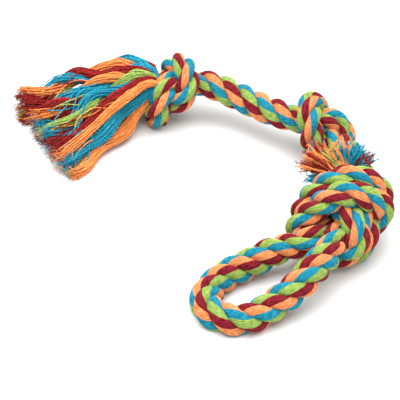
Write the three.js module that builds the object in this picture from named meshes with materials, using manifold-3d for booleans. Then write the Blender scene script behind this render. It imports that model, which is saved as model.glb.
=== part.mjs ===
// Rope dog toy: one length of thick cotton rope with a frayed tassel, an end knot, a middle knot,
// a doubled handle knot, a handle loop and a short frayed tuft. It lies on a flat surface.
// Millimetres, +Z up, +Y away from the front, origin at the bottom centre of the laid toy.
import * as THREE from 'three';
import { mergeVertices } from 'three/addons/utils/BufferGeometryUtils.js';
import Module from 'manifold-3d';

// Rope
const ROPE_DIAMETER = 20;
const KNOT_PITCH = 14.4; // distance between the passes of a pulled knot, where the cotton is squeezed
const PAIR_PITCH = 19.5; // the same for the doubled rope of the handle knot, taken as one thick rope
const FIT_GAP = 0.3; // clearance between touching pieces
const PASS_GAP = 0.5; // clearance between passes of the rope
const FLOOR_FLAT = 2; // depth of the flat that the rope's weight presses where it rests
const ROPE_SIDES = 12;
const POINT_SPACING = 3.6; // step along the rope's centre line
const BEND_SHARE = 0.9; // the rope stays thinner than its bend, or its inner side would fold
const SWELL_REACH = 3; // points over which the rope swells from a knot to its free diameter

// Where the toy lies: the middle of its outline, taken off every point below
const LAID_CENTRE = [-5.87, 6.16, 0];

// Knots: centre, direction of the rope through it, roll about that direction in degrees, and the
// lengths of the leads before and after the centre
const END_KNOT = { centre: [-23, 125, 23], along: [0.97, 0.2, 0.03], roll: 345, leads: [20, 30] };
const MIDDLE_KNOT = { centre: [88, 66, 24], along: [0.84, -0.54, 0.02], roll: 175, leads: [30, 24] };
const HANDLE_KNOT = { centre: [93, -38, 33], along: [-0.3, -0.94, -0.12], roll: 140, leads: [40, 33] };
const PAIR_SIDE = [0.9, -0.4, 0.15]; // from the upper leg of the loop to the lower one
const TUFT_CUT = 3; // points by which the returning pass ends before the standing one

// Free stretches, from one knot's lead to the next
const CURVE_STEPS = 16; // points of a stretch between two of its route
const MAIN_ROUTE = [[18, 119, 27], [32, 109, 26], [48, 97, 25]];
const LINK_ROUTE = [[108, 24, 28]];
const LOOP_MOUTH = [80, -64]; // where the loop's legs leave the handle knot
const LOOP_LENGTH = 96;
// Points of the loop from its mouth in loop lengths, each with its height
const LOOP_ROUTE = [
  [-0.208, 0.042, 20], [-0.49, -0.052, 12], [-0.646, -0.135, 9], [-0.75, -0.26, 8], [-0.792, -0.396, 8],
  [-0.75, -0.51, 8], [-0.646, -0.583, 8], [-0.531, -0.594, 8], [-0.417, -0.552, 10], [-0.292, -0.479, 14],
  [-0.167, -0.396, 19], [-0.063, -0.292, 24],
];

// Bending points of the rope, where one piece turns in the next: greatest turn in degrees
const BEND = { tassel: 40, far: 40, near: 40, link: 35, loop: 60 };
const RIM_SPARE = 0.8; // depth left between a cup's rim and the piece that turns in it
const MIN_STEP = 1; // least length of a facet beside a trimmed end
const END_STEPS = 5; // facets from the rim of a dome or a cup to its middle

// Tassel: the neck where the rope loosens, then groups of yarn in rows from the floor up and columns
// from the back to the front. Heights of each row where it rises, sags and ends; turns in degrees
const NECK = { straight: 1, length: 4, radius: 14 };
const TASSEL_ROWS = [
  { name: 'low', turn: 10, rise: 10, sag: 4.5, tip: 3.6, colours: ['maroon', 'orange', 'green', 'orange'] },
  { name: 'mid', turn: 5, rise: 38, sag: 14, tip: 9.5, colours: ['green', 'orange', 'maroon', 'blue'] },
  { name: 'top', turn: 0, rise: 57, sag: 25, tip: 15, colours: ['maroon', 'blue', 'green', 'maroon'] },
];
const TASSEL_LENGTH = 97;
const TASSEL_FAN = {
  first: -2, step: 14, shares: [1, 0.92, 0.9, 0.93], reach: 0.2, spread: 1.3, bend: 0.64,
};
const TASSEL_GROUP = { pitch: 6.2, root: 2.5, belly: 4.9, tip: 4.4, swell: 0.35, sides: 8, steps: 14 };

// Tuft: short groups round the cut end, from the left over the top to the right, and a core in them
const TUFT_OUTER = {
  ring: 4.8, first: -30, step: 30, gather: 1, lean: 62,
  colours: ['blue', 'maroon', 'orange', 'orange', 'blue', 'blue', 'maroon'],
};
const TUFT_INNER = {
  ring: 2.4, first: -54, step: 72, gather: 0.53, lean: 34,
  colours: ['orange', 'orange', 'blue', 'maroon', 'green'],
};
const TUFT_MIDDLE = 68; // where the middle of the fan leans, from the left over the top
const TUFT_GROUP = { lead: 6, length: 18, root: 0.95, belly: 1.5, tip: 3, swell: 0.5, sides: 6, steps: 7 };

// Colours of the yarn, and of the laid rope seen from afar
const YARN = { orange: 0xfa964b, blue: 0x0091b9, green: 0x96c84b, maroon: 0x961932 };
const MIXED = 0x8a8260;
const COTTON_ROUGHNESS = 0.9;

// Bringing a knot tight, in rope widths
const LOOSE = { ring: 2.1, tube: 0.85, open: 0.3, lead: 6, straight: 0.8, offset: 0.9, count: 90 };
const PULL = { steps: 3000, tension: 0.2, bend: 0.05, push: 0.2, spacing: 0.25, skip: 1.9, even: 5 };
const SETTLE = { steps: 200, tension: 0.05, bend: 0.15, push: 0.2 };

const { floor, max, min, PI } = Math;
const ROPE_RADIUS = ROPE_DIAMETER / 2;
const KNOT_SKIP = floor((PULL.skip * KNOT_PITCH) / POINT_SPACING);
const vec = (p) => new THREE.Vector3(...p);
const radians = (degrees) => (degrees * PI) / 180;

// Points at an even spacing along a polyline
function evenly(points, spacing) {
  const at = [0];
  for (let i = 1; i < points.length; i += 1) {
    at.push(at[i - 1] + points[i].distanceTo(points[i - 1]));
  }
  const total = at[at.length - 1];
  const count = max(4, Math.round(total / spacing));
  const out = [];
  let j = 0;
  for (let i = 0; i <= count; i += 1) {
    const s = (total * i) / count;
    while (j < at.length - 2 && at[j + 1] < s) {
      j += 1;
    }
    out.push(points[j].clone().lerp(points[j + 1], (s - at[j]) / (at[j + 1] - at[j])));
  }
  return out;
}

// Pushes passes of the rope apart where they are closer than contact, with tension and stiffness
function relax(points, contact, skip, rule, held, lowest) {
  let line = points;
  for (let step = 0; step < rule.steps; step += 1) {
    const count = line.length;
    const move = line.map(() => new THREE.Vector3());
    for (let i = 0; i < count; i += 1) {
      for (let j = i + skip; j < count; j += 1) {
        const dx = line[i].x - line[j].x;
        const dy = line[i].y - line[j].y;
        const dz = line[i].z - line[j].z;
        const square = dx * dx + dy * dy + dz * dz;
        if (square < contact * contact) {
          const dist = Math.sqrt(square);
          const push = (rule.push * (contact - dist)) / dist;
          move[i].x += push * dx;
          move[i].y += push * dy;
          move[i].z += push * dz;
          move[j].x -= push * dx;
          move[j].y -= push * dy;
          move[j].z -= push * dz;
        }
      }
    }
    const sag = line.map((p, i) => (i === 0 || i === count - 1 ? new THREE.Vector3()
      : line[i - 1].clone().add(line[i + 1]).multiplyScalar(0.5).sub(p)));
    line = line.map((p, i) => {
      if (i < 2 || i > count - 3 || held(i)) {
        return p;
      }
      const bend = sag[i].clone().addScaledVector(sag[i - 1], -0.5).addScaledVector(sag[i + 1], -0.5);
      const q = p.clone().add(move[i]);
      q.addScaledVector(sag[i], rule.tension).addScaledVector(bend, rule.bend);
      q.z = max(q.z, lowest);
      return q;
    });
    if (rule.even && step % rule.even === 0) {
      line = evenly(line, rule.spacing);
    }
  }
  return line;
}

// A loose overhand knot on a ring, its ends led out along Y
function looseKnot() {
  const { ring, tube, open, lead, straight, offset, count } = LOOSE;
  const points = [[offset, -lead, 0], [offset, straight - lead, 0]];
  for (let i = 0; i <= count; i += 1) {
    const t = open + ((2 * PI - 2 * open) * i) / count;
    const out = ring + tube * Math.cos(3 * t);
    points.push([out * Math.cos(2 * t), out * Math.sin(2 * t), tube * Math.sin(3 * t)]);
  }
  points.push([offset, lead - straight, 0], [offset, lead, 0]);
  return points.map(vec);
}

function pulledKnot() {
  const skip = floor(PULL.skip / PULL.spacing);
  const line = relax(evenly(looseKnot(), PULL.spacing), 1, skip, PULL, () => false, -Infinity);
  return line.map((p) => p.setX(p.x - LOOSE.offset));
}

const tied = pulledKnot();

// The tied knot, scaled to a rope width and set in place, its leads cut to length
function placedKnot(knot, width) {
  const along = vec(knot.along).normalize();
  const across = new THREE.Vector3(0, 0, 1).cross(along).normalize();
  const basis = new THREE.Matrix4().makeBasis(across, along, across.clone().cross(along));
  basis.premultiply(new THREE.Matrix4().makeRotationAxis(along, radians(knot.roll)));
  const [before, after] = knot.leads;
  return tied
    .filter((p) => p.y * width > -before && p.y * width < after)
    .map((p) => p.clone().multiplyScalar(width).applyMatrix4(basis).add(vec(knot.centre)));
}

function tangent(line, i) {
  return line[min(i + 1, line.length - 1)].clone().sub(line[max(i - 1, 0)]).normalize();
}

// Two passes beside each other along one line, from a given side vector at its far end
function pairOfPasses(line, side) {
  const passes = [[], []];
  let s = vec(side);
  for (let i = line.length - 1; i >= 0; i -= 1) {
    const t = tangent(line, i);
    s = s.clone().addScaledVector(t, -s.dot(t)).normalize();
    passes[0].unshift(line[i].clone().addScaledVector(s, -KNOT_PITCH / 2));
    passes[1].unshift(line[i].clone().addScaledVector(s, KNOT_PITCH / 2));
  }
  return passes;
}

// A smooth stretch from the end of one line through the route to the start of the next
function stretch(before, route, after) {
  const points = [...before.slice(-2), ...route.map(vec), ...after.slice(0, 2)];
  const curve = new THREE.CatmullRomCurve3(points, false, 'centripetal');
  const last = points.length - 1;
  const fine = [];
  for (let i = 0; i <= last * CURVE_STEPS; i += 1) {
    const t = i / (last * CURVE_STEPS);
    if (t >= 1 / last && t <= (last - 1) / last) {
      fine.push(curve.getPoint(t));
    }
  }
  return evenly(fine, POINT_SPACING).slice(1, -1);
}

// The whole rope as one line, with the name of the stretch that each point belongs to
function laidRope() {
  const end = evenly(placedKnot(END_KNOT, KNOT_PITCH), POINT_SPACING);
  const middle = evenly(placedKnot(MIDDLE_KNOT, KNOT_PITCH), POINT_SPACING);
  const passes = pairOfPasses(placedKnot(HANDLE_KNOT, PAIR_PITCH), PAIR_SIDE);
  const standing = evenly(passes[0], POINT_SPACING);
  const returning = evenly(passes[1].reverse(), POINT_SPACING).slice(0, -TUFT_CUT);
  const loopRoute = LOOP_ROUTE.map(([x, y, z]) => [
    LOOP_MOUTH[0] + x * LOOP_LENGTH, LOOP_MOUTH[1] + y * LOOP_LENGTH, z,
  ]);
  const parts = {
    end_knot: end,
    main_rope: stretch(end, MAIN_ROUTE, middle),
    middle_knot: middle,
    link_rope: stretch(middle, LINK_ROUTE, standing),
    standing_pass: standing,
    handle_loop: stretch(standing, loopRoute, returning),
    returning_pass: returning,
  };
  const names = Object.entries(parts).flatMap(([name, points]) => points.map(() => name));
  const free = ['main_rope', 'handle_loop', 'link_rope'];
  const held = (i) => free.includes(names[i]) && free.includes(names[i - 4]) && free.includes(names[i + 4]);
  const lowest = KNOT_PITCH / 2 - FLOOR_FLAT;
  const line = relax(Object.values(parts).flat(), KNOT_PITCH, KNOT_SKIP, SETTLE, held, lowest);
  return { line, names };
}

// Radius at each point: full where the rope is free, squeezed where another pass lies beside it
function ropeRadii(line) {
  const limit = line.map((p, i) => {
    let radius = ROPE_RADIUS;
    line.forEach((q, j) => {
      if (Math.abs(i - j) >= KNOT_SKIP) {
        radius = min(radius, (p.distanceTo(q) - PASS_GAP) / 2);
      }
    });
    if (i > 0 && i < line.length - 1) {
      const a = line[i - 1].distanceTo(p);
      const b = line[i + 1].distanceTo(p);
      const turn = line[i + 1].clone().sub(p).angleTo(p.clone().sub(line[i - 1]));
      radius = min(radius, (BEND_SHARE * (a + b)) / 2 / max(turn, 1e-6));
    }
    return radius;
  });
  const least = limit.map((r, i) => min(...limit.slice(max(0, i - SWELL_REACH), i + SWELL_REACH + 1)));
  return least.map((r, i) => {
    const near = least.slice(max(0, i - SWELL_REACH), i + SWELL_REACH + 1);
    return near.reduce((sum, v) => sum + v, 0) / near.length;
  });
}

const rope = laidRope();
rope.radii = ropeRadii(rope.line);
let gap = Infinity;
rope.line.forEach((p, i) => rope.line.forEach((q, j) => {
  if (j - i >= KNOT_SKIP) {
    gap = min(gap, p.distanceTo(q) - rope.radii[i] - rope.radii[j]);
  }
}));
console.log(`least gap of the rope to itself: ${gap.toFixed(2)} mm`);

// Rings of a lofted tube turn with the line and do not twist about it
function ringFrames(stations) {
  const points = stations.map((s) => s.p);
  let u = new THREE.Vector3(0, 0, 1);
  return stations.map((s, i) => {
    const t = s.t ?? tangent(points, i);
    if (i === 0 && Math.abs(u.dot(t)) > 0.9) {
      u = new THREE.Vector3(1, 0, 0);
    }
    u = u.clone().addScaledVector(t, -u.dot(t)).normalize();
    return { ...s, t, u, v: t.clone().cross(u) };
  });
}

// End profiles: offsets along the rope's outward direction and radii, then the offset of the pole
function flatEnd() {
  return { rings: [], pole: 0 };
}

function domeEnd(radius) {
  const rings = [];
  for (let k = 1; k < END_STEPS; k += 1) {
    const a = (k * PI) / 2 / END_STEPS;
    rings.push([radius * Math.sin(a), radius * Math.cos(a)]);
  }
  return { rings, pole: radius };
}

// A cup that takes a dome of this radius, its centre a rim depth outside the end
function cupEnd(radius, rim) {
  const step = PI / 2 / END_STEPS;
  const bowl = (radius + FIT_GAP) / Math.cos(PI / ROPE_SIDES) / Math.cos(step / 2);
  const first = Math.acos(rim / bowl);
  const rings = [];
  for (let k = 0; k < END_STEPS; k += 1) {
    const a = first * (1 - k / END_STEPS);
    rings.push([rim - bowl * Math.cos(a), bowl * Math.sin(a)]);
  }
  return { rings, pole: rim - bowl };
}

// A closed tube through the stations, each a point and a radius
function loft(stations, startEnd, finishEnd, sides = ROPE_SIDES) {
  const frames = ringFrames(stations);
  const first = frames[0];
  const last = frames[frames.length - 1];
  const shifted = (f, offset) => f.p.clone().addScaledVector(f.t, offset);
  const rings = [
    ...startEnd.rings.map(([offset, r]) => ({ ...first, p: shifted(first, -offset), r })).reverse(),
    ...frames,
    ...finishEnd.rings.map(([offset, r]) => ({ ...last, p: shifted(last, offset), r })),
  ];
  const corners = [];
  for (const { p, u, v, r } of rings) {
    for (let k = 0; k < sides; k += 1) {
      const a = (2 * PI * k) / sides;
      corners.push(p.clone().addScaledVector(u, r * Math.cos(a)).addScaledVector(v, r * Math.sin(a)));
    }
  }
  const startPole = corners.push(shifted(first, -startEnd.pole)) - 1;
  const finishPole = corners.push(shifted(last, finishEnd.pole)) - 1;
  const index = [];
  for (let k = 0; k < sides; k += 1) {
    const next = (k + 1) % sides;
    for (let i = 0; i < rings.length - 1; i += 1) {
      const a = i * sides;
      const b = a + sides;
      index.push(a + k, a + next, b + k, a + next, b + next, b + k);
    }
    const top = (rings.length - 1) * sides;
    index.push(startPole, next, k, finishPole, top + k, top + next);
  }
  const geometry = new THREE.BufferGeometry();
  geometry.setAttribute('position', new THREE.Float32BufferAttribute(corners.flatMap((p) => p.toArray()), 3));
  geometry.setIndex(index);
  return geometry;
}

// Cutting with the floor
const wasm = await Module();
wasm.setup();

function solid(geometry) {
  const bare = geometry.clone();
  bare.deleteAttribute('normal');
  bare.deleteAttribute('uv');
  const merged = mergeVertices(bare, 1e-4);
  const vertProperties = new Float32Array(merged.attributes.position.array);
  const triVerts = new Uint32Array(merged.index.array);
  return new wasm.Manifold(new wasm.Mesh({ numProp: 3, vertProperties, triVerts }));
}

function restedOnFloor(geometry) {
  geometry.computeBoundingBox();
  if (geometry.boundingBox.min.z >= 0) {
    return geometry;
  }
  const mesh = solid(geometry).trimByPlane([0, 0, 1], 0).getMesh();
  const cut = new THREE.BufferGeometry();
  cut.setAttribute('position', new THREE.Float32BufferAttribute(mesh.vertProperties, 3));
  cut.setIndex(Array.from(mesh.triVerts));
  return cut;
}

const toy = new THREE.Group();
toy.position.set(-LAID_CENTRE[0], -LAID_CENTRE[1], -LAID_CENTRE[2]);

function add(name, geometry, colour) {
  const rested = restedOnFloor(geometry);
  rested.computeVertexNormals();
  const material = new THREE.MeshStandardMaterial({ color: colour, roughness: COTTON_ROUGHNESS });
  const mesh = new THREE.Mesh(rested, material);
  mesh.name = name;
  toy.add(mesh);
}

const at = (name, offset) => {
  const first = rope.names.indexOf(name);
  const last = rope.names.lastIndexOf(name);
  return offset >= 0 ? first + offset : last + 1 + offset;
};

const HINGES = {
  tassel: 0,
  far: at('main_rope', 1),
  near: at('main_rope', -2),
  link: at('link_rope', 4),
  upper: at('standing_pass', -1),
  lower: at('returning_pass', 0),
};

function rimDepth(radius, degrees) {
  return radius * Math.tan(radians(degrees) / 2) + RIM_SPARE;
}

// Stations of the rope from one point to another, its first part left off
function stations(from, to, cutFirst, cutLast) {
  let list = [];
  for (let i = from; i <= to; i += 1) {
    list.push({ p: rope.line[i], r: rope.radii[i] });
  }
  const trimmed = (part, length) => {
    let left = length;
    let k = 0;
    while (left > part[k].p.distanceTo(part[k + 1].p)) {
      left -= part[k].p.distanceTo(part[k + 1].p);
      k += 1;
    }
    const share = left / part[k].p.distanceTo(part[k + 1].p);
    const p = part[k].p.clone().lerp(part[k + 1].p, share);
    const r = part[k].r + share * (part[k + 1].r - part[k].r);
    const t = p.clone().sub(part[0].p).normalize();
    const rest = part.slice(k + 1);
    return [{ p, r, t }, ...(rest[0].p.distanceTo(p) < MIN_STEP ? rest.slice(1) : rest)];
  };
  if (cutFirst > 0) {
    list = trimmed(list, cutFirst);
  }
  if (cutLast > 0) {
    list = trimmed(list.reverse(), cutLast).reverse();
    list[list.length - 1].t.negate();
  }
  return list;
}

// A square cut across the rope, half the clearance to one side of a point
function squareCut(i, side) {
  const t = tangent(rope.line, i);
  return { p: rope.line[i].clone().addScaledVector(t, (side * FIT_GAP) / 2), r: rope.radii[i], t };
}

// A piece of the rope between two points, each end a dome, a cup that takes a dome, or flat
function ropePiece(name, from, to, startKind, finishKind) {
  const make = (kind, i) => {
    const radius = rope.radii[i];
    if (kind === 'dome') {
      return { cut: 0, end: domeEnd(radius) };
    }
    if (kind === 'flat') {
      return { cut: 0, end: flatEnd() };
    }
    const rim = rimDepth(radius, BEND[kind]);
    return { cut: rim, end: cupEnd(radius, rim) };
  };
  const start = make(startKind, from);
  const finish = make(finishKind, to);
  const list = stations(from, to, start.cut, finish.cut);
  if (startKind === 'flat') {
    list[0] = squareCut(from, 1);
  }
  if (finishKind === 'flat') {
    list[list.length - 1] = squareCut(to, -1);
  }
  add(name, loft(list, start.end, finish.end), MIXED);
}

ropePiece('end_knot', HINGES.tassel, HINGES.far, 'tassel', 'far');
ropePiece('main_rope', HINGES.far, HINGES.near, 'dome', 'dome');
ropePiece('middle_knot', HINGES.near, HINGES.link, 'near', 'link');
const LINK_END = at('standing_pass', 2);
ropePiece('link_rope', HINGES.link, LINK_END, 'dome', 'flat');
ropePiece('handle_knot_standing_pass', LINK_END, HINGES.upper, 'flat', 'loop');
ropePiece('handle_loop', HINGES.upper, HINGES.lower, 'dome', 'dome');
ropePiece('handle_knot_returning_pass', HINGES.lower, rope.line.length - 1, 'loop', 'flat');

// A group of yarn along a curve, thin at its root, with its ends cut square
function yarnGroup(name, curve, axis, group, colour) {
  const list = [];
  for (let k = 0; k <= group.steps; k += 1) {
    const t = k / group.steps;
    const r = t < group.swell ? group.root + (t / group.swell) * (group.belly - group.root)
      : group.belly + ((t - group.swell) / (1 - group.swell)) * (group.tip - group.belly);
    list.push({ p: curve.getPoint(t), r });
  }
  list[0].t = axis;
  add(name, loft(list, flatEnd(), flatEnd(), group.sides), YARN[colour]);
}

const up = new THREE.Vector3(0, 0, 1);
const neckAxis = tangent(rope.line, 0).negate();
const neckEnd = rope.line[0].clone().addScaledVector(neckAxis, NECK.length);
const neckStart = { p: rope.line[0], r: rope.radii[0] };
const neckFlare = { p: rope.line[0].clone().addScaledVector(neckAxis, NECK.straight), r: rope.radii[0] };
const neckStations = [neckStart, neckFlare, { p: neckEnd, r: NECK.radius }];
add('tassel_neck', loft(neckStations, domeEnd(rope.radii[0]), flatEnd()), MIXED);

const acrossNeck = up.clone().cross(neckAxis).normalize();
const overNeck = neckAxis.clone().cross(acrossNeck);
TASSEL_ROWS.forEach((row, j) => row.colours.forEach((colour, i) => {
  const offset = acrossNeck.clone().multiplyScalar((i - (row.colours.length - 1) / 2) * TASSEL_GROUP.pitch);
  offset.addScaledVector(overNeck, (j - (TASSEL_ROWS.length - 1) / 2) * TASSEL_GROUP.pitch);
  const root = neckEnd.clone().addScaledVector(neckAxis, FIT_GAP).add(offset);
  const turn = radians(TASSEL_FAN.first + i * TASSEL_FAN.step + row.turn);
  const heading = new THREE.Vector3(-Math.cos(turn), -Math.sin(turn), 0);
  const length = TASSEL_FAN.shares[i] * TASSEL_LENGTH;
  const rise = root.clone().addScaledVector(neckAxis, TASSEL_FAN.reach * length);
  const curve = new THREE.CubicBezierCurve3(
    root,
    rise.addScaledVector(offset, TASSEL_FAN.spread).setZ(row.rise),
    root.clone().addScaledVector(heading, TASSEL_FAN.bend * length).setZ(row.sag),
    root.clone().addScaledVector(heading, length).setZ(row.tip),
  );
  yarnGroup(`tassel_${row.name}_${i + 1}`, curve, neckAxis, TASSEL_GROUP, colour);
}));

const cutEnd = rope.line[rope.line.length - 1];
const tuftAxis = tangent(rope.line, rope.line.length - 1);
const tuftLeft = new THREE.Vector3(-1, 0, 0).addScaledVector(tuftAxis, tuftAxis.x).normalize();
const tuftOver = tuftAxis.clone().cross(tuftLeft);
for (const [part, fan] of [['outer', TUFT_OUTER], ['inner', TUFT_INNER]]) {
  fan.colours.forEach((colour, k) => {
    const turn = radians(fan.first + k * fan.step);
    const out = (a) => tuftLeft.clone().multiplyScalar(Math.cos(a)).addScaledVector(tuftOver, Math.sin(a));
    const root = cutEnd.clone().addScaledVector(tuftAxis, FIT_GAP).addScaledVector(out(turn), fan.ring);
    const knee = root.clone().addScaledVector(tuftAxis, TUFT_GROUP.lead);
    const lean = radians(fan.lean);
    const tip = knee.clone().addScaledVector(tuftAxis, TUFT_GROUP.length * Math.cos(lean));
    const bent = radians(TUFT_MIDDLE) + fan.gather * (turn - PI / 2);
    tip.addScaledVector(out(bent), TUFT_GROUP.length * Math.sin(lean));
    const curve = new THREE.QuadraticBezierCurve3(root, knee, tip);
    yarnGroup(`tuft_${part}_${k + 1}`, curve, tuftAxis, TUFT_GROUP, colour);
  });
}

export default toy;
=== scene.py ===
import math

import bpy
import numpy as np
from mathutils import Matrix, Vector


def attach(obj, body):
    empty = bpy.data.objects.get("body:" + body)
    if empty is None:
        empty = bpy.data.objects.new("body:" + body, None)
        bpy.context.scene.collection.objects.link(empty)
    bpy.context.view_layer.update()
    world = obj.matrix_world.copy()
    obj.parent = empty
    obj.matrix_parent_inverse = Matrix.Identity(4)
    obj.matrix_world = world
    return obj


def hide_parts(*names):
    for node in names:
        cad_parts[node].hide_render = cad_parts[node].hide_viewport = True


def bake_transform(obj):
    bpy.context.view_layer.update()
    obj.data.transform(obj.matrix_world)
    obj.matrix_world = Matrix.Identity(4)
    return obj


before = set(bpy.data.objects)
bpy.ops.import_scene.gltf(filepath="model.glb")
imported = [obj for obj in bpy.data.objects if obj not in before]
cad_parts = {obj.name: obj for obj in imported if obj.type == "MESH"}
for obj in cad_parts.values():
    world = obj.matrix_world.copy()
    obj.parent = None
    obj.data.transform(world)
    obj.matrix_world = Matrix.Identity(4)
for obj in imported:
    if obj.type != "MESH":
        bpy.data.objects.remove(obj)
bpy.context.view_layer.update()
SEED = 7
rng = np.random.default_rng(SEED)
MM = 0.001
FULL_TURN = 2 * math.pi
UP = np.array((0.0, 0.0, 1.0))

# The rope's sizes, as in the part's source, in millimetres of the laid frame
ROPE_DIAMETER = 20.0
KNOT_PITCH = 14.4
PAIR_PITCH = 19.5
PASS_GAP = 0.5
FLOOR_FLAT = 2.0
POINT_SPACING = 3.6
# The middle of the toy as it is laid, which is the part's origin
LAID_CENTRE = np.array([-5.87, 6.16, 0.0])

END_KNOT = dict(centre=(-23, 125, 23), along=(0.97, 0.2, 0.03), roll=345, leads=(20, 30))
MIDDLE_KNOT = dict(centre=(88, 66, 24), along=(0.84, -0.54, 0.02), roll=175, leads=(30, 24))
HANDLE_KNOT = dict(centre=(93, -38, 33), along=(-0.3, -0.94, -0.12), roll=140, leads=(40, 33))
PAIR_SIDE = (0.9, -0.4, 0.15)

MAIN_ROUTE = [(18, 119, 27), (32, 109, 26), (48, 97, 25)]
LINK_ROUTE = [(108, 24, 28)]
LOOP_MOUTH = (80, -64)
LOOP_LENGTH = 96
# Shares of the loop's length from its mouth, and the height
LOOP_SHAPE = [
    (-0.208, 0.042, 20), (-0.49, -0.052, 12), (-0.646, -0.135, 9), (-0.75, -0.26, 8), (-0.792, -0.396, 8),
    (-0.75, -0.51, 8), (-0.646, -0.583, 8), (-0.531, -0.594, 8), (-0.417, -0.552, 10), (-0.292, -0.479, 14),
    (-0.167, -0.396, 19), (-0.063, -0.292, 24),
]
LOOP_ROUTE = [
    (LOOP_MOUTH[0] + x * LOOP_LENGTH, LOOP_MOUTH[1] + y * LOOP_LENGTH, z) for x, y, z in LOOP_SHAPE
]

NECK_LENGTH = 4
TASSEL_ROWS = [
    dict(name="low", turn=10, rise=10, sag=4.5, tip=3.6),
    dict(name="mid", turn=5, rise=38, sag=14, tip=9.5),
    dict(name="top", turn=0, rise=57, sag=25, tip=15),
]
ROW_GROUPS = 4
TASSEL_LENGTH = 97
TASSEL_FAN = dict(first=-2, step=14, shares=(1, 0.92, 0.9, 0.93), reach=0.2, bend=0.64)
TASSEL_GROUP = dict(pitch=6.2, root=2.5, belly=4.9, tip=4.4, swell=0.35)
TUFT_OUTER = dict(ring=4.8, first=-30, step=30, gather=1, lean=62, count=7)
TUFT_INNER = dict(ring=2.4, first=-54, step=72, gather=0.53, lean=34, count=5)
TUFT_MIDDLE = 68
TUFT_LEAD = 6
TUFT_LENGTH = 18
ROOT_GAP = 0.3

# The tying: a loose knot in rope diameters, how it is pulled tight, and how the whole rope settles
LOOSE = dict(ring=2.1, tube=0.85, rounds=2, lobes=3, open=0.3, lead=6, straight=0.8, offset=0.9, count=90)
PULL = dict(steps=3000, tension=0.2, bend=0.05, push=0.2, spacing=0.25, skip=1.9, even=5)
SETTLE = dict(steps=200, tension=0.05, bend=0.15, push=0.2, even=0)
BEND_SHARE = 0.9
LEAST_TURN = 1e-6
FAR = 1e9

# Counts of points or steps on the rope's line
KNOT_SKIP = int(PULL["skip"] * KNOT_PITCH / POINT_SPACING)
FEWEST_STEPS = 4
CURVE_STEPS = 16
HELD_ENDS = 2
HELD_INSET = 4
SWELL_REACH = 3
TUFT_CUT = 3
MAIN_INSET = 1
LINK_INSET = 4
LINK_OVERLAP = 2


def unit(v):
    v = np.asarray(v, float)
    return v / np.linalg.norm(v)


def lengths_along(path):
    return np.concatenate([[0], np.cumsum(np.linalg.norm(np.diff(path, axis=0), axis=1))])


def tangents(path):
    ahead = np.vstack([path[1:], path[-1:]])
    behind = np.vstack([path[:1], path[:-1]])
    d = ahead - behind
    return d / np.linalg.norm(d, axis=1)[:, None]


def shown(name, data):
    """A new object in the scene."""
    obj = bpy.data.objects.new(name, data)
    bpy.context.scene.collection.objects.link(obj)
    return obj


# Camera at the photograph's angle
ELEVATION = math.radians(38)
DISTANCE = 1.3
TARGET = Vector((0.0065, -0.0062, 0.0138))
camera = shown("camera", bpy.data.cameras.new("camera"))
camera.data.sensor_width = 36
camera.data.lens = 165
camera.data.clip_end = 20
back = Vector((0, -math.cos(ELEVATION), math.sin(ELEVATION)))
camera.location = TARGET + back * DISTANCE
camera.rotation_mode = "QUATERNION"
camera.rotation_quaternion = (-back).to_track_quat("-Z", "Y")
bpy.context.scene.camera = camera


# The rope's centre line, tied and settled as in the part's source
def evenly(points, spacing):
    at = lengths_along(points)
    count = max(FEWEST_STEPS, math.floor(at[-1] / spacing + 0.5))
    s = np.linspace(0, at[-1], count + 1)
    return np.stack([np.interp(s, at, points[:, k]) for k in range(3)], 1)


def relax(points, contact, skip, rule, held=None, lowest=-FAR):
    """The line after steps of tension, stiffness and contact with itself."""
    path = points.copy()
    for step in range(rule["steps"]):
        diff = path[:, None] - path[None]
        square = np.einsum("ijk,ijk->ij", diff, diff)
        i, j = np.nonzero(np.triu(square < contact * contact, skip))
        move = np.zeros_like(path)
        if len(i):
            dist = np.sqrt(square[i, j])
            shove = (rule["push"] * (contact - dist) / dist)[:, None] * diff[i, j]
            np.add.at(move, i, shove)
            np.add.at(move, j, -shove)
        sag = np.zeros_like(path)
        sag[1:-1] = (path[:-2] + path[2:]) / 2 - path[1:-1]
        bend = np.zeros_like(path)
        bend[1:-1] = sag[1:-1] - (sag[:-2] + sag[2:]) / 2
        change = move + rule["tension"] * sag + rule["bend"] * bend
        moves = np.ones(len(path), bool)
        moves[:HELD_ENDS] = False
        moves[-HELD_ENDS:] = False
        if held is not None:
            moves &= ~held
        path[moves] += change[moves]
        path[moves, 2] = np.maximum(path[moves, 2], lowest)
        if rule["even"] and step % rule["even"] == 0:
            path = evenly(path, rule["spacing"])
    return path


def loose_knot():
    """An open trefoil with straight ends, in rope diameters."""
    k = LOOSE
    t = k["open"] + (FULL_TURN - 2 * k["open"]) * np.arange(k["count"] + 1) / k["count"]
    lobe, turn = k["lobes"] * t, k["rounds"] * t
    out = k["ring"] + k["tube"] * np.cos(lobe)
    ring = np.stack([out * np.cos(turn), out * np.sin(turn), k["tube"] * np.sin(lobe)], 1)
    start = [(k["offset"], -k["lead"], 0), (k["offset"], k["straight"] - k["lead"], 0)]
    finish = [(k["offset"], k["lead"] - k["straight"], 0), (k["offset"], k["lead"], 0)]
    return np.vstack([start, ring, finish])


def pulled_knot():
    skip = int(PULL["skip"] / PULL["spacing"])
    knot = relax(evenly(loose_knot(), PULL["spacing"]), 1, skip, PULL)
    knot[:, 0] -= LOOSE["offset"]
    return knot


def turned(v, axis, angle):
    c, s = math.cos(angle), math.sin(angle)
    return v * c + np.cross(axis, v) * s + np.outer(v @ axis, axis) * (1 - c)


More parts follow.
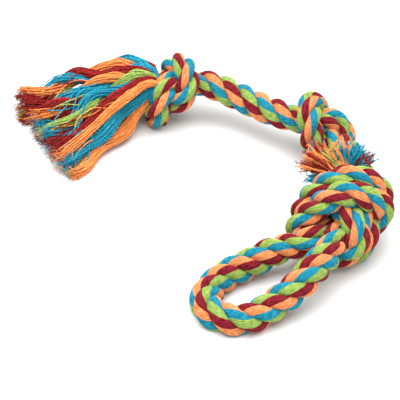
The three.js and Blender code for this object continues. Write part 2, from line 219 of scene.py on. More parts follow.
def placed_knot(tied, knot, width):
    along_knot = unit(knot["along"])
    across = unit(np.cross(UP, along_knot))
    basis = np.stack([across, along_knot, np.cross(across, along_knot)])
    y = tied[:, 1] * width
    kept = tied[(y > -knot["leads"][0]) & (y < knot["leads"][1])] * width
    return turned(kept @ basis, along_knot, math.radians(knot["roll"])) + np.array(knot["centre"], float)


def pair_of_passes(path, side):
    """Two lines beside the given one, for a knot that is tied in the doubled rope."""
    t = tangents(path)
    s = np.array(side, float)
    sides = np.zeros_like(path)
    for i in range(len(path) - 1, -1, -1):
        s = unit(s - (s @ t[i]) * t[i])
        sides[i] = s
    return path - sides * KNOT_PITCH / 2, path + sides * KNOT_PITCH / 2


def curve_point(points, t):
    """A point on the centripetal Catmull-Rom curve through the points, at a share t of its spans."""
    last = len(points) - 1
    at = last * t
    i = min(int(at), last - 1)
    w = at - i
    p1, p2 = points[i], points[i + 1]
    p0 = points[i - 1] if i > 0 else 2 * points[0] - points[1]
    p3 = points[i + 2] if i + 2 <= last else 2 * points[last] - points[last - 1]
    d0, d1, d2 = (math.sqrt(np.linalg.norm(b - a)) for a, b in ((p0, p1), (p1, p2), (p2, p3)))
    t1 = ((p1 - p0) / d0 - (p2 - p0) / (d0 + d1) + (p2 - p1) / d1) * d1
    t2 = ((p2 - p1) / d1 - (p3 - p1) / (d1 + d2) + (p3 - p2) / d2) * d1
    return p1 + t1 * w + (-3 * p1 + 3 * p2 - 2 * t1 - t2) * w**2 + (2 * p1 - 2 * p2 + t1 + t2) * w**3


def stretch(before, route, after):
    """The free rope between two knots, through the points of its route."""
    points = np.vstack([before[-2:], np.array(route, float), after[:2]])
    last = len(points) - 1
    steps = range(CURVE_STEPS, (last - 1) * CURVE_STEPS + 1)
    fine = [curve_point(points, i / (last * CURVE_STEPS)) for i in steps]
    return evenly(np.array(fine), POINT_SPACING)[1:-1]


def laid_rope():
    """The whole line, and the name of the stretch that each of its points belongs to."""
    tied = pulled_knot()
    end = evenly(placed_knot(tied, END_KNOT, KNOT_PITCH), POINT_SPACING)
    middle = evenly(placed_knot(tied, MIDDLE_KNOT, KNOT_PITCH), POINT_SPACING)
    first, second = pair_of_passes(placed_knot(tied, HANDLE_KNOT, PAIR_PITCH), PAIR_SIDE)
    standing = evenly(first, POINT_SPACING)
    returning = evenly(second[::-1], POINT_SPACING)[:-TUFT_CUT]
    parts = {
        "end_knot": end,
        "main_rope": stretch(end, MAIN_ROUTE, middle),
        "middle_knot": middle,
        "link_rope": stretch(middle, LINK_ROUTE, standing),
        "standing_pass": standing,
        "handle_loop": stretch(standing, LOOP_ROUTE, returning),
        "returning_pass": returning,
    }
    part_of = [name for name, points in parts.items() for _ in points]
    free = np.array([name in ("main_rope", "handle_loop", "link_rope") for name in part_of])
    held = np.zeros(len(free), bool)
    inset = slice(HELD_INSET, -HELD_INSET)
    held[inset] = free[: -2 * HELD_INSET] & free[inset] & free[2 * HELD_INSET :]
    lowest = KNOT_PITCH / 2 - FLOOR_FLAT
    settled = relax(np.vstack(list(parts.values())), KNOT_PITCH, KNOT_SKIP, SETTLE, held, lowest)
    return settled, part_of


def rope_radii(path):
    """The rope's radius at each point, squeezed between passes and in sharp bends."""
    n = len(path)
    dist = np.linalg.norm(path[:, None] - path[None], axis=2)
    near = np.abs(np.arange(n)[:, None] - np.arange(n)[None]) < KNOT_SKIP
    limit = np.minimum(ROPE_DIAMETER / 2, (np.where(near, FAR, dist).min(1) - PASS_GAP) / 2)
    step = np.diff(path, axis=0)
    length = np.linalg.norm(step, axis=1)
    cosine = np.einsum("ij,ij->i", step[1:], step[:-1]) / length[1:] / length[:-1]
    turn = np.maximum(np.arccos(np.clip(cosine, -1, 1)), LEAST_TURN)
    limit[1:-1] = np.minimum(limit[1:-1], BEND_SHARE * (length[1:] + length[:-1]) / 2 / turn)
    window = [slice(max(0, i - SWELL_REACH), i + SWELL_REACH + 1) for i in range(n)]
    least = np.array([limit[w].min() for w in window])
    return np.array([least[w].mean() for w in window])


line, names = laid_rope()
radii = rope_radii(line)
at_point = lengths_along(line)


def first_of(name):
    return names.index(name)


def last_of(name):
    return len(names) - 1 - names[::-1].index(name)


# Points of the line where it bends between two bodies, and their lengths along it
HINGE = {
    "far": first_of("main_rope") + MAIN_INSET,
    "near": last_of("main_rope") - MAIN_INSET,
    "link": first_of("link_rope") + LINK_INSET,
    "upper": last_of("standing_pass"),
    "lower": first_of("returning_pass"),
}
HINGE_AT = {name: at_point[i] for name, i in HINGE.items()}


def smooth_line(points, at, s):
    """Points on a smooth curve through the given ones, at the given lengths."""
    n = len(points)
    i = np.clip(np.searchsorted(at, s, side="right") - 1, 0, n - 2)
    w = ((s - at[i]) / (at[i + 1] - at[i]))[:, None]
    p1, p2 = points[i], points[i + 1]
    p0 = np.where((i > 0)[:, None], points[np.maximum(i - 1, 0)], 2 * p1 - p2)
    p3 = np.where((i < n - 2)[:, None], points[np.minimum(i + 2, n - 1)], 2 * p2 - p1)
    m1, m2 = (p2 - p0) / 2, (p3 - p1) / 2
    leaving = (2 * w**3 - 3 * w**2 + 1) * p1 + (w**3 - 2 * w**2 + w) * m1
    return leaving + (3 * w**2 - 2 * w**3) * p2 + (w**3 - w**2) * m2


def at_length(s):
    return smooth_line(line, at_point, np.array([float(s)]))[0]


NEAR_UPRIGHT = 0.9


def transported(path):
    """Tangents and a pair of crossing directions that turn with the line and don't twist."""
    t = tangents(path)
    u = UP if abs(t[0, 2]) < NEAR_UPRIGHT else np.array((1.0, 0.0, 0.0))
    us = np.zeros_like(path)
    for i in range(len(path)):
        u = unit(u - (u @ t[i]) * t[i])
        us[i] = u
    return t, us, np.cross(t, us)


def place(points):
    """Laid millimetres to the part's metres."""
    return (np.asarray(points, float) - LAID_CENTRE) * MM


# Cotton
COLOURS = {
    "orange": (244, 146, 84),
    "blue": (12, 135, 164),
    "green": (148, 180, 78),
    "maroon": (128, 11, 27),
}
# Loose yarns are a little deeper in colour than laid ones
YARN_COLOURS = dict(COLOURS, orange=(244, 138, 60), maroon=(134, 10, 8))
DARK_FIBRE = dict(place=0.38, share=0.82)
# Lighter fibres; the small amount of white added to them is a painted sheen
LIGHT_FIBRE_AND_SHEEN = dict(place=0.62, share=1.14, least=0.015)
# Painted shade in the grooves between yarns: how dark it is, and how sharp its lines are
GROOVE_SHADE = dict(share=0.45, power=1.2, sharpness=2)


def linear(rgb):
    """A colour as seen on a screen, 0 to 255, to the amounts of light that the shader takes."""
    shares = (x / 255 for x in rgb)
    return tuple((c / 12.92 if c <= 0.04045 else ((c + 0.055) / 1.055) ** 2.4) for c in shares)


def new_node(nodes, kind, **values):
    node = nodes.new(kind)
    for socket, value in values.items():
        node.inputs[socket].default_value = value
    return node


def fibre_streaks(tree, uv, base, streaks, shade):
    """Lighter and darker fibres along the yarn, the lighter ones with a little white added as a painted
    sheen.
    """
    nodes, links = tree.nodes, tree.links
    scale = new_node(nodes, "ShaderNodeMapping", Scale=(*streaks, 1))
    links.new(uv.outputs["UV"], scale.inputs["Vector"])
    streak = new_node(nodes, "ShaderNodeTexNoise", Scale=1.0, Detail=4, Roughness=0.65)
    links.new(scale.outputs["Vector"], streak.inputs["Vector"])
    ramp = nodes.new("ShaderNodeValToRGB")
    dark, light = ramp.color_ramp.elements
    dark.position = DARK_FIBRE["place"]
    dark.color = (*[DARK_FIBRE["share"] * c ** shade[0] for c in base], 1)
    light.position = LIGHT_FIBRE_AND_SHEEN["place"]
    # Painted sheen: a little white lifts the lighter fibres
    light.color = (*[min(1, LIGHT_FIBRE_AND_SHEEN["least"] + LIGHT_FIBRE_AND_SHEEN["share"] * c ** shade[1]) for c in base], 1)
    links.new(streak.outputs["Fac"], ramp.inputs["Fac"])
    return ramp.outputs["Color"]


def painted_groove_shade(tree, uv, base, colour, yarns):
    """Painted shade: dark lines between the yarns of a strand, where shade falls in the grooves."""
    nodes, links = tree.nodes, tree.links
    parts = nodes.new("ShaderNodeSeparateXYZ")
    links.new(uv.outputs["UV"], parts.inputs["Vector"])
    value = parts.outputs["X"]
    from_middle = (("MULTIPLY", yarns), ("FRACT", 0), ("SUBTRACT", 0.5), ("ABSOLUTE", 0), ("MULTIPLY", 2))
    for operation, number in (*from_middle, ("POWER", GROOVE_SHADE["sharpness"])):
        step = nodes.new("ShaderNodeMath")
        step.operation = operation
        links.new(value, step.inputs[0])
        step.inputs[1].default_value = number
        value = step.outputs["Value"]
    groove_shade = nodes.new("ShaderNodeMix")
    groove_shade.data_type = "RGBA"
    links.new(value, groove_shade.inputs["Factor"])
    links.new(colour, groove_shade.inputs["A"])
    groove_shade.inputs["B"].default_value = (*[GROOVE_SHADE["share"] * c ** GROOVE_SHADE["power"] for c in base], 1)
    return groove_shade.outputs["Result"]


def fibre_bump(tree):
    """Short fibres that stand off the surface."""
    nodes, links = tree.nodes, tree.links
    fibre = new_node(nodes, "ShaderNodeTexNoise", Scale=1500, Detail=3)
    coords = nodes.new("ShaderNodeTexCoord")
    links.new(coords.outputs["Object"], fibre.inputs["Vector"])
    bump = new_node(nodes, "ShaderNodeBump", Strength=0.9, Distance=0.0005)
    links.new(fibre.outputs["Fac"], bump.inputs["Height"])
    return bump.outputs["Normal"]


def cotton(name, rgb, yarns, streaks, shade):
    """Spun cotton: matte, streaked along its fibres with a little painted sheen on the lighter ones, and
    with painted shade in the grooves between yarns where there are any.
    """
    material = bpy.data.materials.new(name)
    material.use_nodes = True
    tree = material.node_tree
    shader = tree.nodes["Principled BSDF"]
    shader.inputs["Roughness"].default_value = 0.95
    shader.inputs["Specular IOR Level"].default_value = 0.1
    shader.inputs["Sheen Weight"].default_value = 0.04
    shader.inputs["Sheen Roughness"].default_value = 0.5
    base = linear(rgb)
    uv = tree.nodes.new("ShaderNodeUVMap")
    uv.uv_map = "yarn"
    colour = fibre_streaks(tree, uv, base, streaks, shade)
    # Painted shade darkens the grooves between the yarns
    if yarns:
        colour = painted_groove_shade(tree, uv, base, colour, yarns)
    tree.links.new(colour, shader.inputs["Base Color"])
    tree.links.new(fibre_bump(tree), shader.inputs["Normal"])
    return material


# Yarns round a strand, with painted shade between them, streaks round and along it, and how far its dark
# and light fibres part
STRAND_YARNS = 24
LAID = dict(yarns=STRAND_YARNS, streaks=(40, 26), shade=(1.35, 0.72))
LOOSENED = dict(yarns=0, streaks=(3, 14), shade=(1.35, 0.7))
ROPE_COTTON = [cotton(f"laid_{c}", rgb, **LAID) for c, rgb in COLOURS.items()]
YARN_COTTON = {c: cotton(f"yarn_{c}", rgb, **LOOSENED) for c, rgb in YARN_COLOURS.items()}


# Meshes of quads
def mesh_object(name, verts, quads, uvs, normals, materials, slots):
    mesh = bpy.data.meshes.new(name)
    mesh.vertices.add(len(verts))
    mesh.vertices.foreach_set("co", verts.astype(np.float32).ravel())
    mesh.loops.add(quads.size)
    mesh.loops.foreach_set("vertex_index", quads.astype(np.int32).ravel())
    mesh.polygons.add(len(quads))
    mesh.polygons.foreach_set("loop_start", np.arange(0, quads.size, 4, dtype=np.int32))
    for material in materials:
        mesh.materials.append(material)
    mesh.polygons.foreach_set("material_index", slots.astype(np.int32))
    layer = mesh.uv_layers.new(name="yarn")
    layer.uv.foreach_set("vector", uvs.astype(np.float32).ravel())
    mesh.update(calc_edges=True)
    mesh.validate()
    mesh.polygons.foreach_set("use_smooth", np.ones(len(mesh.polygons), bool))
    if normals is not None:
        mesh.normals_split_custom_set_from_vertices(normals)
    return shown(name, mesh)


def tube_quads(rows, sides):
    """Quads of a closed tube: its wall, then the caps of its start and its end."""
    row = np.arange(rows - 1)[:, None] * sides
    col = np.arange(sides)[None]
    nxt = (col + 1) % sides
    wall = np.stack([row + col, row + nxt, row + sides + nxt, row + sides + col], -1).reshape(-1, 4)
    i = np.arange(sides // 2 - 1)
    cap = np.stack([i, i + 1, sides - 2 - i, sides - 1 - i], 1)
    return np.vstack([wall, cap[:, ::-1], cap + (rows - 1) * sides])


def tube_uvs(v_at, sides):
    """Places on the yarn for the corners of tube_quads: round the tube and along it."""
    rows = len(v_at)
    u0 = np.broadcast_to(np.arange(sides)[None] / sides, (rows - 1, sides))
    u1 = u0 + 1 / sides
    v0 = np.broadcast_to(v_at[:-1, None], (rows - 1, sides))
    v1 = np.broadcast_to(v_at[1:, None], (rows - 1, sides))
    corners = [np.stack(c, -1) for c in ((u0, v0), (u1, v0), (u1, v1), (u0, v1))]
    caps = [np.tile((0.0, v_at[end]), (4 * (sides // 2 - 1), 1)) for end in (0, -1)]
    return np.vstack([np.stack(corners, 2).reshape(-1, 2), *caps])


def rings(path, size, angles, u, v):
    """Points round each point of a path, at the given sizes and angles from u towards v."""
    outward = np.cos(angles)[..., None] * u[:, None] + np.sin(angles)[..., None] * v[:, None]
    return path[:, None] + size[..., None] * outward


# Strands of the laid rope, over its whole length
STRAND_COUNT = 3
STRAND_COLOURS = len(COLOURS)
LAY = 42.0
YARN_TWIST = 18.8
# By stretch: its end, and the millimetres of rope to a turn of the strands and of each strand's yarns
loop_start, loop_end = at_point[first_of("handle_loop")], at_point[last_of("handle_loop")]
LAY_STRETCHES = (
    (at_point[first_of("main_rope")], LAY, YARN_TWIST),
    (at_point[last_of("main_rope")], 46.6, 21.25),
    (loop_start, 42.6, 18.47),
    ((loop_start + loop_end) / 2, 41.6, 17.0),
    (loop_end, 40.65, 18.45),
    (at_point[-1], LAY, YARN_TWIST),
)
# Where the strands stand at the tassel's end, in degrees, and which colour faces out there
FIRST_TURN = 284.0
FIRST_COLOUR = 2.14
# Cotton swells past the plain tube, less where the rope is free
SWELL = 2.3
FREE_SWELL = 0.6
STEP = 1.2
SIDES = 72
RIDGE_DEPTH = 0.1
RIDGE_LEVEL = 0.6
HELIX_SHARE = 0.54
STRAND_SHARE = 0.468
STRAND_CLEARANCE = 0.15
TINY = 1e-12

lay_at, lay_turn, lay_colour = [0.0], [FIRST_TURN], [FIRST_COLOUR]
for end, lay, twist in LAY_STRETCHES:
    length = end - lay_at[-1]
    lay_turn.append(lay_turn[-1] + 360 * length / lay)
    lay_colour.append(lay_colour[-1] + STRAND_COLOURS * length / twist)
    lay_at.append(end)

rope_length = at_point[-1]
row_count = int(rope_length / STEP)
along = np.linspace(0, rope_length, row_count + 1)
centre = smooth_line(line, at_point, along)
_, u_rope, v_rope = transported(centre)
envelope = np.interp(along, at_point, np.minimum(radii + SWELL, ROPE_DIAMETER / 2 + FREE_SWELL))


def strand(k):
    """Points and normals of one strand's surface, ridged by its yarns and flat on the floor."""
    turn = np.radians(np.interp(along, lay_at, lay_turn)) + FULL_TURN * k / STRAND_COUNT
    out = np.cos(turn)[:, None] * u_rope + np.sin(turn)[:, None] * v_rope
    middle = centre + (HELIX_SHARE * envelope)[:, None] * out
    t = tangents(middle)
    out = out - np.einsum("ij,ij->i", out, t)[:, None] * t
    out /= np.linalg.norm(out, axis=1)[:, None]
    spin = -FULL_TURN * np.interp(along, lay_at, lay_colour) / STRAND_COLOURS
    theta = spin[:, None] + FULL_TURN * np.arange(SIDES)[None] / SIDES
    yarn_wave = np.abs(np.sin(math.pi * STRAND_YARNS * np.arange(SIDES) / SIDES))
    ridge = 1 + RIDGE_DEPTH * (yarn_wave - RIDGE_LEVEL)
    verts = rings(middle, (STRAND_SHARE * envelope)[:, None] * ridge[None], theta, out, np.cross(t, out))
    verts[..., 2] = np.maximum(verts[..., 2], STRAND_CLEARANCE)
    forward = np.gradient(verts, axis=0)
    sideways = np.roll(verts, -1, axis=1) - np.roll(verts, 1, axis=1)
    normal = np.cross(sideways, forward)
    normal /= np.linalg.norm(normal, axis=2)[..., None] + TINY
    return verts, normal


STRANDS = [strand(k) for k in range(STRAND_COUNT)]


# Pieces of the laid rope, cut where it bends between two bodies
REACH = 12.0
FAR_BEND, NEAR_BEND, LINK_BEND = (HINGE_AT[name] for name in ("far", "near", "link"))
LOOP_ENDS = (HINGE_AT["upper"] - REACH, HINGE_AT["lower"] + REACH)
MAIN_MIDDLE = (FAR_BEND + NEAR_BEND) / 2
LINK_END = at_point[first_of("standing_pass") + LINK_OVERLAP]


def rope_piece(name, start, finish):
    """The three strands from one length along the rope to another."""
    i0, i1 = max(int(round(start / STEP)), 0), min(int(round(finish / STEP)), row_count)
    kept = slice(i0, i1 + 1)
    rows = i1 - i0 + 1
    verts, quads, uvs, normals, slots = [], [], [], [], []
    wall_colours = np.tile(STRAND_COLOURS * np.arange(SIDES) // SIDES, rows - 1)
    cap_colours = np.zeros(SIDES - 2, int)
    for k, (points, normal) in enumerate(STRANDS):
        verts.append(place(points[kept].reshape(-1, 3)))
        normals.append(normal[kept].reshape(-1, 3))
        quads.append(tube_quads(rows, SIDES) + k * rows * SIDES)
        uvs.append(tube_uvs(along[kept] / LAY, SIDES) + k)
        slots += [wall_colours, cap_colours]
    verts, quads, uvs, normals = (np.vstack(part) for part in (verts, quads, uvs, normals))
    piece = mesh_object(name, verts, quads, uvs, normals, ROPE_COTTON, np.concatenate(slots))
    return piece


def riding(name, start, finish, body, node):
    """A piece that moves with one body."""
    piece = rope_piece(name, start, finish)
    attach(piece, body)
    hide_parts(node)


def bending(name, start, finish, node=None):
    """A piece over a stretch on both sides of the hinge between one body and the next."""
    piece = rope_piece(name, start, finish)
    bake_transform(piece)
    if node:
        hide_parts(node)


def handle_loop():
    """The loop's piece, which leaves the handle knot at two places."""
    piece = rope_piece("handle_loop_rope", *LOOP_ENDS)
    upper, lower = HINGE["upper"], HINGE["lower"]
    axis = unit(line[lower] - line[upper])
    away = tangents(line)[upper] - tangents(line)[lower]
    away = unit(away - (away @ axis) * axis)
    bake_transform(piece)
    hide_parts("handle_loop")


handle_loop()
riding("end_knot_rope", 0, FAR_BEND - REACH, "end_knot", "end_knot")
bending("main_rope_far", FAR_BEND - REACH, MAIN_MIDDLE, "main_rope")
bending("main_rope_near", MAIN_MIDDLE, NEAR_BEND + REACH)
riding("middle_knot_rope", NEAR_BEND + REACH, LINK_BEND - REACH, "middle_knot", "middle_knot")
bending(
    "link_rope_strands", LINK_BEND - REACH, LINK_END, "link_rope",
)
riding("standing_pass_rope", LINK_END, LOOP_ENDS[0], "handle_knot", "handle_knot_standing_pass")
riding("returning_pass_rope", LOOP_ENDS[1], rope_length, "handle_knot", "handle_knot_returning_pass")


# Loose yarns
YARN_SIDES = 6
FIBRE_SIDES = 4
TIP_SHARE = 0.3
YARN_CLEARANCE = 0.05
STREAK_LENGTH = 20
STREAK_SHIFT = 0.37
GOLDEN_HALF_TURNS = 3 - math.sqrt(5)
WAVE_GROWTH = 4
WAVE_RATIO = 1.1
FIBRE = dict(share=0.42, stray=0.45, bend=0.5, points=5, length=(0.6, 1.2))
BUNDLE = dict(
    turns=0.35, twist_play=0.08, spread_play=0.08, wave=0.3, wave_growth=3, wave_length=(3.5, 8),
    parting=3.2, parting_share=(0.2, 1), parting_power=5, shorten=0.06, fewest=5,
)
YARN_SIZE = (0.85, 1.1)


def bezier(points, t):
    p = [np.array(q, float)[None] for q in points]
    t = np.asarray(t, float)[:, None]
    while len(p) > 1:
        p = [a * (1 - t) + b * t for a, b in zip(p[:-1], p[1:])]
    return p[0]


def disc(n):
    """Points spread evenly over a unit disc."""
    k = np.arange(n) + 0.5
    r, a = np.sqrt(k / n), k * math.pi * GOLDEN_HALF_TURNS
    return np.stack([r * np.cos(a), r * np.sin(a)], 1)


def yarn_tubes(paths, sizes, sides):
    """Thin tubes along the paths, each narrowing at its tip."""
    verts, quads, uvs = [], [], []
    base = 0
    angles = FULL_TURN * np.arange(sides) / sides
    for n, (path, radius) in enumerate(zip(paths, sizes)):
        _, u, v = transported(path)
        rows = len(path)
        size = np.full(rows, radius)
        size[-1] *= TIP_SHARE
        ring = rings(path, size[:, None], angles[None], u, v)
        ring[..., 2] = np.maximum(ring[..., 2], YARN_CLEARANCE)
        verts.append(ring.reshape(-1, 3))
        quads.append(tube_quads(rows, sides) + base)
        uvs.append(tube_uvs(lengths_along(path) / STREAK_LENGTH, sides) + STREAK_SHIFT * n)
        base += rows * sides
    return np.vstack(verts), np.vstack(quads), np.vstack(uvs)


def wandering(path, size, wave):
    """The path with slow waves that grow from its root, the memory of the lay."""
    length = lengths_along(path)
    _, u, v = transported(path)
    grow = size * np.minimum(1, WAVE_GROWTH * length / length[-1])
    a, b = rng.uniform(0, FULL_TURN, 2)
    su = grow * np.sin(FULL_TURN * length / wave + a)
    sv = grow * np.cos(FULL_TURN * length / (wave * WAVE_RATIO) + b)
    return path + su[:, None] * u + sv[:, None] * v


def frayed(tip, heading, count, length):
    """A few thin fibres that leave the end of a yarn."""
    out = []
    for _ in range(count):
        way = unit(heading + rng.normal(0, FIBRE["stray"], 3))
        turn = rng.normal(0, FIBRE["bend"], 3)
        s = np.linspace(0, 1, FIBRE["points"])[:, None]
        out.append(tip + length * rng.uniform(*FIBRE["length"]) * (s * way + s * s * turn))
    return out


def bundle_paths(middle, spread, yarns):
    """Yarns round a middle line: a slow twist, small waves and ends that part from each other."""
    k = BUNDLE
    length = lengths_along(middle)
    share = length / length[-1]
    _, u, v = transported(middle)
    paths = []
    for x, y in disc(yarns):
        a = FULL_TURN * k["turns"] * share + rng.normal(0, k["twist_play"])
        r = spread * (1 + rng.normal(0, k["spread_play"]))
        px, py = x * np.cos(a) - y * np.sin(a), x * np.sin(a) + y * np.cos(a)
        p1, p2, p3 = rng.uniform(0, FULL_TURN, 3)
        wave = k["wave"] * np.minimum(1, k["wave_growth"] * share)
        part = k["parting"] * rng.uniform(*k["parting_share"]) * share ** k["parting_power"]
        dx = wave * np.sin(length / rng.uniform(*k["wave_length"]) + p1) + part * math.sin(p3)
        dy = wave * np.sin(length / rng.uniform(*k["wave_length"]) + p2) + part * math.cos(p3)
        path = middle + (r * px + dx)[:, None] * u + (r * py + dy)[:, None] * v
        keep = max(k["fewest"], int(len(path) * (1 - abs(rng.normal(0, k["shorten"])))))
        paths.append(path[:keep])
    return paths


def yarn_object(name, paths, radius, fibres, fibre_length, colour):
    """Yarns of one colour with frayed ends, as one piece."""
    sizes = [radius * rng.uniform(*YARN_SIZE) for _ in paths]
    thin = []
    for path in paths:
        thin += frayed(path[-1], unit(path[-1] - path[-3]), fibres, fibre_length)
    verts, quads, uvs = yarn_tubes(paths, sizes, YARN_SIDES)
    more, faces, spots = yarn_tubes(thin, [radius * FIBRE["share"]] * len(thin), FIBRE_SIDES)
    quads = np.vstack([quads, faces + len(verts)])
    verts, uvs = np.vstack([verts, more]), np.vstack([uvs, spots])
    slots = np.zeros(len(quads), int)
    piece = mesh_object(name, place(verts), quads, uvs, None, [YARN_COTTON[colour]], slots)
    return piece


# Tassel
TASSEL_COLOURS = {
    "low": (("maroon",), ("orange", "maroon"), ("green", "blue"), ("orange",)),
    "mid": (("green", "maroon"), ("maroon", "blue"), ("maroon",), ("blue",)),
    "top": (
        ("maroon", "orange", "blue"), ("blue", "orange", "maroon"), ("green", "blue"), ("maroon", "orange"),
    ),
}
# Loose yarns sink lower and lie closer than the plain groups of the part's source
TASSEL_SETTLE = dict(rise=0.78, sag=0.75, tip=0.75, spread=0.7, turn=3.5)
TASSEL_FULLNESS = dict(root=1.8, belly=1.3, tip=1.2)
NARROW = {("low", 3): 0.8}
# They leave the knot spread out, and above the end of the rope's line
ROOT_FULLNESS = 1.2
ROOT_RAISE = np.array((5.0, 6.0, 12.0))
# Inside the knot: the length along the rope, and the shares of a group's offset and of the raise
ROOT_INSIDE = ((9, 0.3, 0.3), (4, 0.7, 0.65), (0, 1, 0.95))
ROOT_SPREAD = (2.6, 3.4, 4.0)
PATH_ROWS = 38
TASSEL_WAVE = (1.5, 46)
TASSEL_YARN = dict(radius=0.46, fibres=2, fibre_length=4)
NECK_COVER = ("mid", 1)
# Plies of a group: their distance from its middle and their size, as shares of its own, and their yarns
SINGLE_PLY = dict(aside=0, size=1, yarns=84)
TWISTED_PLY = dict(aside=0.52, size=0.62, yarns=46)
FLAT_PLIES = (dict(aside=0.42, size=0.72, yarns=60), dict(aside=0.66, size=0.5, yarns=36))
FLAT_GROUP = ("top", 3)
PLY_LAY = 62.0
PLY_START = {("top", 2): -2.3, FLAT_GROUP: math.pi / 2}
# Strays that cross from one group to the next
STRAY = dict(count=3, start=(0.25, 0.6), hump=3, lift=0.8, before=0.02, wave=(1.5, 30))

neck_axis = -tangents(line)[0]
neck_end = line[0] + NECK_LENGTH * neck_axis
across_neck = unit(np.cross(UP, neck_axis))
over_neck = np.cross(neck_axis, across_neck)


def tassel_middle(j, i):
    """The middle line of one group: out of the knot, over the neck and down to the floor."""
    row, fan, settle = TASSEL_ROWS[j], TASSEL_FAN, TASSEL_SETTLE
    pitch, last = TASSEL_GROUP["pitch"], ROW_GROUPS - 1
    offset = (i - last / 2) * pitch * across_neck + (j - 1) * pitch * over_neck
    root = neck_end + ROOT_GAP * neck_axis + ROOT_FULLNESS * offset + ROOT_RAISE
    turn = math.radians(fan["first"] + i * fan["step"] + row["turn"] + settle["turn"] * (1 - i / last))
    heading = np.array((-math.cos(turn), -math.sin(turn), 0))
    length = fan["shares"][i] * TASSEL_LENGTH
    over = root + fan["reach"] * length * neck_axis + settle["spread"] * offset
    over[2] = settle["rise"] * row["rise"]
    down = root + fan["bend"] * length * heading
    down[2] = settle["sag"] * row["sag"]
    tip = root + length * heading
    tip[2] = settle["tip"] * row["tip"]
    loose = wandering(bezier([root, over, down, tip], np.linspace(0, 1, PATH_ROWS)), *TASSEL_WAVE)
    inside = [at_length(s) + part * offset + raised * ROOT_RAISE for s, part, raised in ROOT_INSIDE]
    return np.vstack([inside, loose])


MIDDLES = {(j, i): tassel_middle(j, i) for j in range(len(TASSEL_ROWS)) for i in range(ROW_GROUPS)}


def stray_yarn(j, i, core, size):
    """A yarn that leaves its ply for a neighbouring group."""
    length = lengths_along(MIDDLES[j, i])
    beside = [k for k in MIDDLES if abs(k[0] - j) + abs(k[1] - i) == 1]
    other = MIDDLES[beside[rng.integers(len(beside))]]
    start = rng.uniform(*STRAY["start"])
    w = np.clip((length / length[-1] - start) / (1 - start), 0, 1)
    w = w * w * (3 - 2 * w)
    path = core * (1 - w)[:, None] + other * w[:, None]
    lift = STRAY["lift"] * size * (w < STRAY["before"])
    path[:, 2] += (size + STRAY["hump"]) * np.sin(math.pi * w) + lift
    return wandering(path, *STRAY["wave"])


def tassel_group(j, i):
    """One group, in plies of one colour each that twist round each other."""
    middle = MIDDLES[j, i]
    row, group, full = TASSEL_ROWS[j]["name"], TASSEL_GROUP, TASSEL_FULLNESS
    widths = [group[part] * full[part] for part in ("root", "belly", "tip")]
    profile = np.interp(np.linspace(0, 1, PATH_ROWS), (0, group["swell"], 1), widths)
    spread = np.concatenate([ROOT_SPREAD, profile]) * NARROW.get((row, i), 1)
    flat = (row, i) == FLAT_GROUP
    lay_angle = 0 if flat else FULL_TURN * lengths_along(middle) / PLY_LAY
    any_start = rng.uniform(0, FULL_TURN)
    phase = PLY_START.get((row, i), any_start)
    _, u, v = transported(middle)
    colours = TASSEL_COLOURS[row][i]
    if len(colours) == 1:
        plies = [SINGLE_PLY]
    else:
        plies = FLAT_PLIES if flat else [TWISTED_PLY] * len(colours)
    for q, (colour, ply) in enumerate(zip(colours, plies)):
        a = phase + FULL_TURN * q / len(colours) + lay_angle
        aside, size = ply["aside"] * spread, ply["size"] * spread
        core = middle + (aside * np.cos(a))[:, None] * u + (aside * np.sin(a))[:, None] * v
        paths = bundle_paths(core, size, ply["yarns"])
        paths += [stray_yarn(j, i, core, size) for _ in range(STRAY["count"])]
        piece = yarn_object(f"tassel_{row}_{i + 1}_{colour}", paths, **TASSEL_YARN, colour=colour)
        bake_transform(piece)
        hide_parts(f"tassel_{row}_{i + 1}")
        if (row, i) == NECK_COVER and q == 0:
            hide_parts("tassel_neck")


for j, i in MIDDLES:
    tassel_group(j, i)


# Tuft
TUFT_COLOURS = {
    "outer": (
        ("blue",), ("maroon", "orange"), ("orange", "maroon"), ("orange", "green"), ("blue", "orange"),
        ("blue",), ("maroon", "blue"),
    ),
    "inner": (("orange",), ("orange",), ("blue",), ("blue", "maroon"), ("green",)),
}
# The groups that hang over the knot's side are longer
TUFT_REACH = {"outer": (2.5, 2.1, 1.5, 1, 1, 1, 1), "inner": (1, 1, 1, 1, 1)}
TUFT_SUNK = 5
TUFT_YARNS = 32
TUFT_ROWS = 18
TUFT_PLAY = dict(root=1.3, lean=28, swing=26, reach=(0.7, 1.05), wave=(0.3, 0.9), wave_length=(12, 20))
TUFT_YARN = dict(radius=0.75, fibres=2, fibre_length=2)

cut_end = line[-1]
tuft_axis = tangents(line)[-1]
tuft_left = unit(np.array((-1.0, 0, 0)) + tuft_axis[0] * tuft_axis)
tuft_over = np.cross(tuft_axis, tuft_left)


def tuft_out(a):
    return math.cos(a) * tuft_left + math.sin(a) * tuft_over


def tuft_yarn(fan, turn, longer, x, y):
    """One yarn of a group, at a place x, y in it: out of the knot's end, then over to the side."""
    play = TUFT_PLAY
    root = cut_end + (ROOT_GAP - TUFT_SUNK) * tuft_axis + fan["ring"] * tuft_out(turn)
    root = root + play["root"] * (x * tuft_left + y * tuft_over)
    knee = root + (TUFT_SUNK + TUFT_LEAD) * tuft_axis
    lean = math.radians(fan["lean"] + play["lean"] * x / longer)
    bent = math.radians(TUFT_MIDDLE) + fan["gather"] * (turn - math.pi / 2)
    swing = bent + math.radians(play["swing"]) * y / longer
    reach = longer * TUFT_LENGTH * rng.uniform(*play["reach"])
    tip = knee + reach * (math.cos(lean) * tuft_axis + math.sin(lean) * tuft_out(swing))
    path = bezier([root, knee, tip], np.linspace(0, 1, TUFT_ROWS))
    return wandering(path, rng.uniform(*play["wave"]), rng.uniform(*play["wave_length"]))


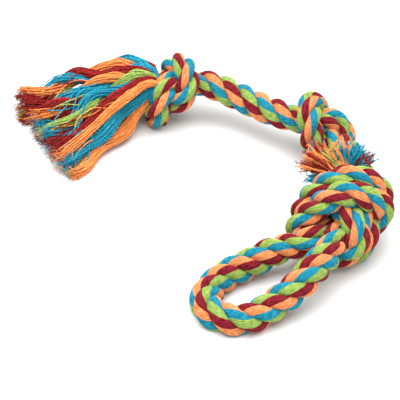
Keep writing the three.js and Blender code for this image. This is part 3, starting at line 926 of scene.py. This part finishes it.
for part, fan in (("outer", TUFT_OUTER), ("inner", TUFT_INNER)):
    for k in range(fan["count"]):
        turn = math.radians(fan["first"] + k * fan["step"])
        paths = [tuft_yarn(fan, turn, TUFT_REACH[part][k], x, y) for x, y in disc(TUFT_YARNS)]
        colours = TUFT_COLOURS[part][k]
        for q, colour in enumerate(colours):
            own = paths[q :: len(colours)]
            piece = yarn_object(f"tuft_{part}_{k + 1}_{colour}", own, **TUFT_YARN, colour=colour)
            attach(piece, "handle_knot")
            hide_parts(f"tuft_{part}_{k + 1}")


# Floor and light
FLOOR_HALF = 1.2
FLOOR_GREY = 0.76
WHITE = (1, 1, 1, 1)
# The room is bright low down and dimmer overhead
ROOM = {"From Min": 0.16, "From Max": 0.32, "To Min": 1.0, "To Max": 0.27}


def paper():
    material = bpy.data.materials.new("paper")
    material.use_nodes = True
    shader = material.node_tree.nodes["Principled BSDF"]
    shader.inputs["Base Color"].default_value = (FLOOR_GREY, FLOOR_GREY, FLOOR_GREY, 1)
    shader.inputs["Roughness"].default_value = 0.9
    shader.inputs["Specular IOR Level"].default_value = 0.0
    return material


def floor():
    mesh = bpy.data.meshes.new("floor")
    corners = [(x * FLOOR_HALF, y * FLOOR_HALF, 0) for x, y in ((-1, -1), (1, -1), (1, 1), (-1, 1))]
    mesh.from_pydata(corners, [], [(0, 1, 2, 3)])
    mesh.materials.append(paper())
    shown("floor", mesh)


def room_light():
    world = bpy.data.worlds.new("studio")
    bpy.context.scene.world = world
    world.use_nodes = True
    nodes, links = world.node_tree.nodes, world.node_tree.links
    nodes["Background"].inputs["Color"].default_value = WHITE
    direction = nodes.new("ShaderNodeTexCoord")
    height = nodes.new("ShaderNodeSeparateXYZ")
    links.new(direction.outputs["Generated"], height.inputs["Vector"])
    fall = new_node(nodes, "ShaderNodeMapRange", **ROOM)
    links.new(height.outputs["Z"], fall.inputs["Value"])
    links.new(fall.outputs["Result"], nodes["Background"].inputs["Strength"])


def area_light(name, location, size, power):
    data = bpy.data.lights.new(name, "AREA")
    data.shape = "DISK"
    data.size = size
    data.energy = power
    light = shown(name, data)
    light.location = location
    light.rotation_mode = "QUATERNION"
    light.rotation_quaternion = (-Vector(location)).to_track_quat("-Z", "Y")


floor()
room_light()
area_light("key", location=(-0.1, 0.05, 1.8), size=2.8, power=90)
area_light("fill", location=(0.5, -1.3, 1.2), size=1.4, power=9)
bpy.context.scene.view_settings.view_transform = "Standard"
